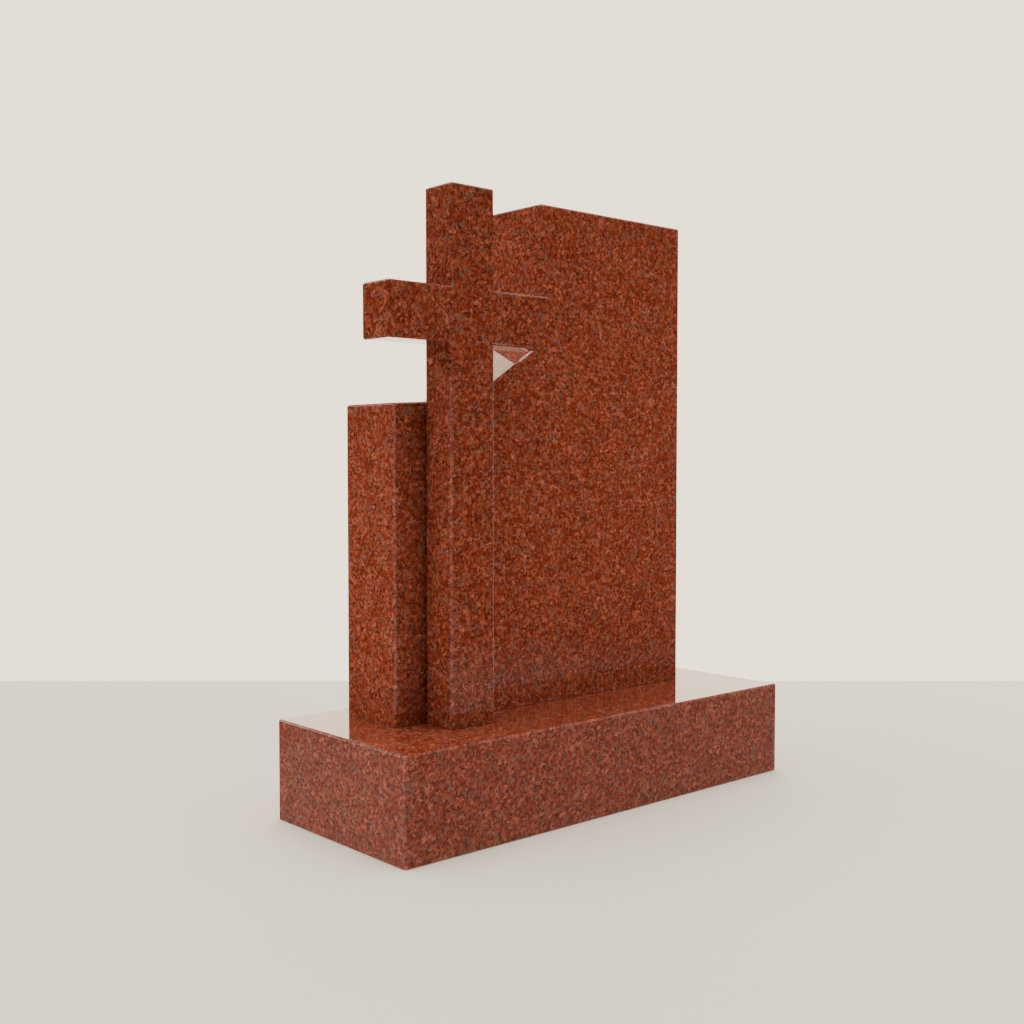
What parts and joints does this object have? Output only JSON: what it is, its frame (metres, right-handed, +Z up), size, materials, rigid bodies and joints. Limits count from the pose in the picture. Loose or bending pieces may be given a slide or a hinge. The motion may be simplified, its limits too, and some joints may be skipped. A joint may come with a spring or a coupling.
{
  "type": "cross memorial",
  "caption": "Polished granite grave memorial: a stepped upright tablet and a free-standing Latin cross on a low rectangular plinth.",
  "frame": {"origin": "middle of the plinth's underside, on the ground", "axes": "+Z up, +X to the right along the memorial's face, +Y from the face to the back; the face with the cross looks towards -Y"},
  "size_m": [0.81, 0.3194, 0.9519],
  "materials": {
    "plinth_granite": "polished red granite with brown-black and grey specks",
    "tablet_granite": "polished red granite with brown-black and grey specks",
    "cross_granite": "polished red granite with brown-black and grey specks"
  },
  "bodies": {
    "root": {"plinth": "plinth_granite", "tablet": "tablet_granite", "cross": "cross_granite"}
  },
  "joints": []
}
